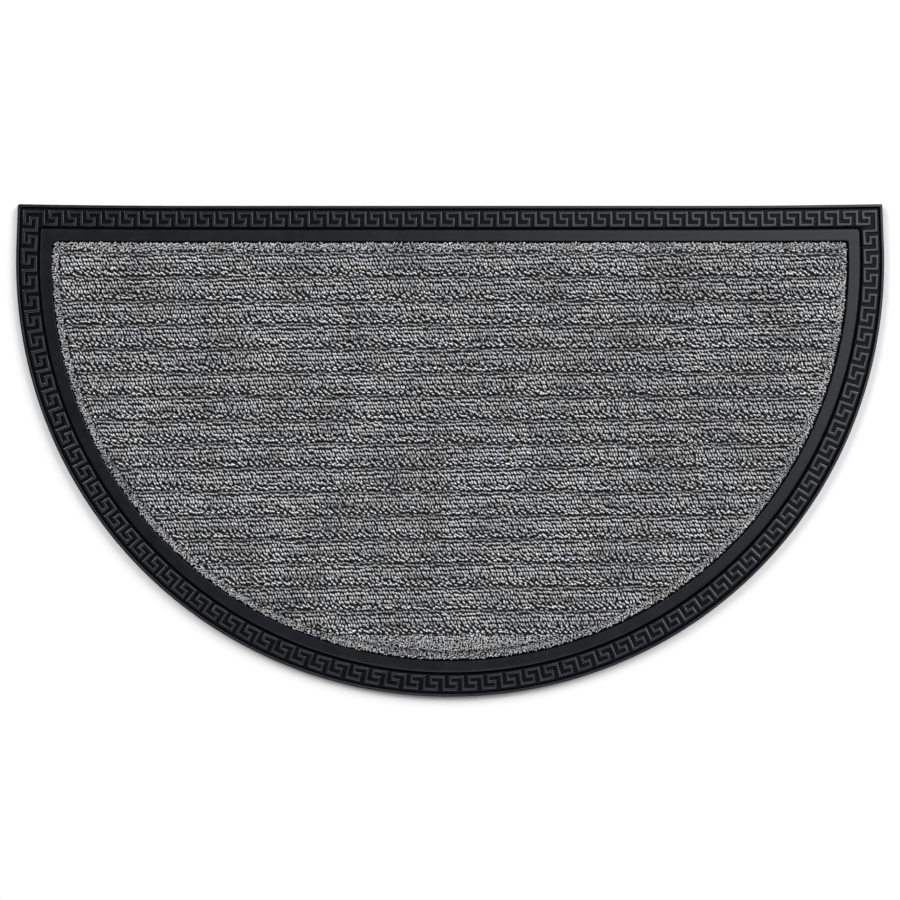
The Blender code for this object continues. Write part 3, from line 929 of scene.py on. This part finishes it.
def sheet_tree(surface):
    """Node tree that lowers a flat cut of carpet onto the ribbed surface."""
    tree = bpy.data.node_groups.new("Ribbed sheet", "GeometryNodeTree")
    face = tree.interface
    face.new_socket("Geometry", in_out="INPUT", socket_type="NodeSocketGeometry")
    face.new_socket("Pile Depth", in_out="INPUT", socket_type="NodeSocketFloat")
    face.new_socket("Underside Height", in_out="INPUT", socket_type="NodeSocketFloat")
    face.new_socket("Ground", in_out="INPUT", socket_type="NodeSocketMaterial")
    face.new_socket("Geometry", in_out="OUTPUT", socket_type="NodeSocketGeometry")
    given = add_node(tree, "NodeGroupInput").outputs
    here = add_node(tree, "GeometryNodeInputPosition").outputs[0]
    parts = add_node(tree, "ShaderNodeSeparateXYZ", {0: here}).outputs
    height = add_node(tree, "GeometryNodeGroup", {"Place": here}, node_tree=surface).outputs["Height"]
    ground = add_node(tree, "ShaderNodeMath", {0: height, 1: given["Pile Depth"]}, operation="SUBTRACT")
    upper = add_node(tree, "FunctionNodeCompare", {0: parts["Z"], 1: 0.5}, operation="GREATER_THAN")
    level = add_node(tree, "GeometryNodeSwitch", {"Switch": upper.outputs[0],
                                                  "False": given["Underside Height"],
                                                  "True": ground.outputs[0]}, input_type="FLOAT")
    place = add_node(tree, "ShaderNodeCombineXYZ", {0: parts["X"], 1: parts["Y"], 2: level.outputs[0]})
    moved = add_node(tree, "GeometryNodeSetPosition", {"Geometry": given["Geometry"],
                                                       "Position": place.outputs[0]})
    finished = add_node(tree, "GeometryNodeSetMaterial", {"Geometry": moved.outputs[0],
                                                          "Material": given["Ground"]})
    add_node(tree, "NodeGroupOutput", {"Geometry": finished.outputs[0]})
    return tree


def flat_cut(outline, carpet):
    """The carpet cut to shape: a fine upper layer at z = 1 and a plain lower layer at z = 0."""
    shape = HalfRound(outline)
    mesh = bmesh.new()
    insets = (0.0, 0.4, 1.2, 3.0, 6.0, 7.3, 8.6)
    rings = []
    for inset in insets:
        left = max(LEFT_CORNER - inset * 0.3, 1.5) * MM
        rings.append(add_loop(mesh, shape.ring(carpet.edge + inset * MM, left, RIGHT_CORNER * MM), 1.0))
    for outer, inner in zip(rings, rings[1:]):
        add_wall(mesh, outer, inner)
    inner = rings[-1]
    before = set(mesh.faces)
    add_flat(mesh, inner)
    field = [face for face in mesh.faces if face not in before]
    spacing = 1.2 * MM
    rows = int((PANEL_HIGH.y - PANEL_LOW.y) / spacing)
    for row in range(1, rows):
        geometry = list({item for face in field if face.is_valid
                         for item in (face, *face.edges, *face.verts)})
        cut = bmesh.ops.bisect_plane(mesh, geom=geometry, plane_co=(0.0, PANEL_LOW.y + row * spacing, 0.0),
                                     plane_no=(0.0, 1.0, 0.0), dist=1e-7)
        field = [item for item in cut["geom"] if isinstance(item, bmesh.types.BMFace)]
    lower = add_loop(mesh, [Vector((v.co.x, v.co.y)) for v in rings[0]], 0.0)
    add_wall(mesh, lower, rings[0])
    add_flat(mesh, lower)
    bmesh.ops.recalc_face_normals(mesh, faces=mesh.faces)
    data = bpy.data.meshes.new("flat_cut")
    mesh.to_mesh(data)
    mesh.free()
    data.shade_smooth()
    return add_object("flat_cut", data)


def edge_lines(outline, carpet):
    """Closed lines inside the carpet's edge, as a mesh without faces."""
    mesh = bmesh.new()
    lines = list(EDGE_LINES)
    while lines[-1][0] < carpet.plain_front / MM:
        inset, left, right = lines[-1]
        lines.append((inset + LINE_STEP, left, right))
    for inset, left, right in lines:
        loop = add_loop(mesh, HalfRound(outline).ring(carpet.edge + inset * MM, left * MM, right * MM), 0.0)
        for index in range(len(loop)):
            mesh.edges.new((loop[index - 1], loop[index]))
    data = bpy.data.meshes.new("edge_lines")
    mesh.to_mesh(data)
    mesh.free()
    return data


PILE_PIECES = 6


def build_carpet(outline, carpet):
    """The ribbed ground sheet and the pieces of loop pile on it."""
    surface = surface_group(outline, carpet)
    cut = flat_cut(outline, carpet)
    ground = apply_tree("carpet_ground_sheet", cut, sheet_tree(surface), {
        "Pile Depth": carpet.pile_depth * 0.9, "Underside Height": PANEL_LOW.z,
        "Ground": ground_material(carpet)})
    sheet = add_object("carpet_ground_sheet", ground)
    bpy.data.objects.remove(cut)

    loop = add_object("yarn_loop", loop_mesh())
    holder = add_object("pile_holder", bpy.data.meshes.new("pile_holder"))
    loops = loops_group(surface)
    shared = {"Loop": loop, "Yarn": yarn_material(carpet), "Loop Spacing": carpet.loop_spacing,
              "Pile Depth": carpet.pile_depth, "Loop Length": 2.25 * MM, "Loop Width": 1.5 * MM}
    tree = rows_tree(surface, loops)
    rise = carpet.row_slope * PANEL_HIGH.x + 3 * MM
    deep = PANEL_HIGH.y - PANEL_LOW.y + 2 * rise
    rows = math.ceil(deep / carpet.row_spacing)
    columns = math.ceil(2 * PANEL_HIGH.x / carpet.loop_spacing) + 2
    pile = []
    for piece in range(PILE_PIECES):
        first = rows * piece // PILE_PIECES
        last = rows * (piece + 1) // PILE_PIECES
        name = f"loop_pile_{piece + 1}"
        mesh = apply_tree(name, holder, tree, {
            **shared, "Rows": last - first, "Loops": columns, "First Row": first,
            "Seed": carpet.seed + 100 * piece, "Row Spacing": carpet.row_spacing,
            "Row Slope": carpet.row_slope, "Start Y": PANEL_HIGH.y + rise, "Edge Gap": 6.3 * MM})
        pile.append(add_object(name, mesh))
    edge = add_object("edge_lines", edge_lines(outline, carpet))
    mesh = apply_tree("loop_pile_edge", edge, edge_tree(surface, loops), {
        **shared, "Seed": carpet.seed, "Loop Spacing": 1.9 * MM, "Edge Gap": 6.3 * MM,
        "Loop Length": 2.0 * MM, "Loop Width": 1.15 * MM})
    pile.append(add_object("loop_pile_edge", mesh))
    for scratch in (holder, loop, edge):
        bpy.data.objects.remove(scratch)
    return sheet, pile


def build_stage(stage):
    """Floor, lights and the camera that looks straight down."""
    mesh = bpy.data.meshes.new("floor")
    reach = 10.0
    mesh.from_pydata([(-reach, -reach, 0), (reach, -reach, 0), (reach, reach, 0), (-reach, reach, 0)], [],
                     [(0, 1, 2, 3)])
    material, tree, shader = new_material("Painted floor")
    shader.inputs["Base Color"].default_value = stage.floor
    shader.inputs["Roughness"].default_value = 0.9
    shader.inputs["Specular IOR Level"].default_value = 0.0
    mesh.materials.append(material)
    floor = add_object("floor", mesh)
    floor.location.z = -0.0002

    world = bpy.data.worlds.new("studio")
    world.use_nodes = True
    bpy.context.scene.world = world
    background = world.node_tree.nodes["Background"]
    background.inputs["Color"].default_value = (1.0, 1.0, 1.0, 1.0)
    background.inputs["Strength"].default_value = 0.05

    lamps = (
        ("left", (-7.0, 5.6, 3.9), 6.0, 1175.0),
        ("right", (7.0, 5.6, 3.9), 6.0, 1175.0),
        ("front", (0.0, -3.0, 4.0), 2.4, 38.0),
        ("gloss", (0.88, 0.62, 2.0), 1.4, 11.5),
    )
    for name, place, width, power in lamps:
        lamp = bpy.data.lights.new(name, "AREA")
        lamp.size = width
        lamp.energy = power
        item = bpy.data.objects.new(name, lamp)
        item.location = place
        item.rotation_euler = (-Vector(place)).to_track_quat("-Z", "Y").to_euler()
        bpy.context.scene.collection.objects.link(item)

    camera = bpy.data.cameras.new("camera")
    distance = stage.camera_height - BASE_HIGH.z
    camera.lens = camera.sensor_width * distance / stage.view_width
    camera.clip_start = 0.01
    item = bpy.data.objects.new("camera", camera)
    item.location = (stage.camera_x, stage.camera_y, stage.camera_height)
    bpy.context.scene.collection.objects.link(item)
    bpy.context.scene.camera = item
    bpy.context.scene.view_settings.view_transform = "Standard"
    return floor


class DOORMAT_OT_rubber_base(Operator):
    """Build the moulded rubber base with its rim, Greek key and band"""
    bl_idname = "doormat.rubber_base"
    bl_label = "Rubber base"

    def execute(self, context):
        base = build_rubber_base(context.scene.doormat_outline, context.scene.doormat_border)
        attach(base, BODY)
        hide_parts("rubber_base")
        return {"FINISHED"}


class DOORMAT_OT_carpet(Operator):
    """Build the ribbed carpet: its ground sheet and the rows of yarn loops"""
    bl_idname = "doormat.carpet"
    bl_label = "Loop-pile carpet"

    def execute(self, context):
        sheet, pile = build_carpet(context.scene.doormat_outline, context.scene.doormat_carpet)
        for piece in (sheet, *pile):
            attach(piece, BODY)
        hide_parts("carpet_panel")
        return {"FINISHED"}


class DOORMAT_OT_stage(Operator):
    """Build the floor, the studio lights and the camera"""
    bl_idname = "doormat.stage"
    bl_label = "Stage"

    def execute(self, context):
        build_stage(context.scene.doormat_stage)
        return {"FINISHED"}


class DOORMAT_PT_sidebar(Panel):
    bl_idname = "DOORMAT_PT_sidebar"
    bl_label = "Half-round doormat"
    bl_space_type = "VIEW_3D"
    bl_region_type = "UI"
    bl_category = "Doormat"

    def draw(self, context):
        layout = self.layout
        for group, operators in SIDEBAR:
            settings = getattr(context.scene, group)
            box = layout.box()
            for name in settings.__annotations__:
                box.prop(settings, name)
            for operator in operators:
                box.operator(operator.bl_idname)


SETTINGS = {
    "doormat_outline": DoormatOutline,
    "doormat_border": DoormatBorder,
    "doormat_carpet": DoormatCarpet,
    "doormat_stage": DoormatStage,
}
SIDEBAR = (
    ("doormat_outline", ()),
    ("doormat_border", (DOORMAT_OT_rubber_base,)),
    ("doormat_carpet", (DOORMAT_OT_carpet,)),
    ("doormat_stage", (DOORMAT_OT_stage,)),
)
CLASSES = (*SETTINGS.values(), DOORMAT_OT_rubber_base, DOORMAT_OT_carpet, DOORMAT_OT_stage,
           DOORMAT_PT_sidebar)


def register():
    for item in CLASSES:
        bpy.utils.register_class(item)
    for name, group in SETTINGS.items():
        setattr(bpy.types.Scene, name, PointerProperty(type=group))


def unregister():
    for name in SETTINGS:
        delattr(bpy.types.Scene, name)
    for item in reversed(CLASSES):
        bpy.utils.unregister_class(item)


def main():
    register()
    bpy.ops.doormat.rubber_base()
    bpy.ops.doormat.carpet()
    bpy.ops.doormat.stage()


if __name__ == "__main__":
    main()
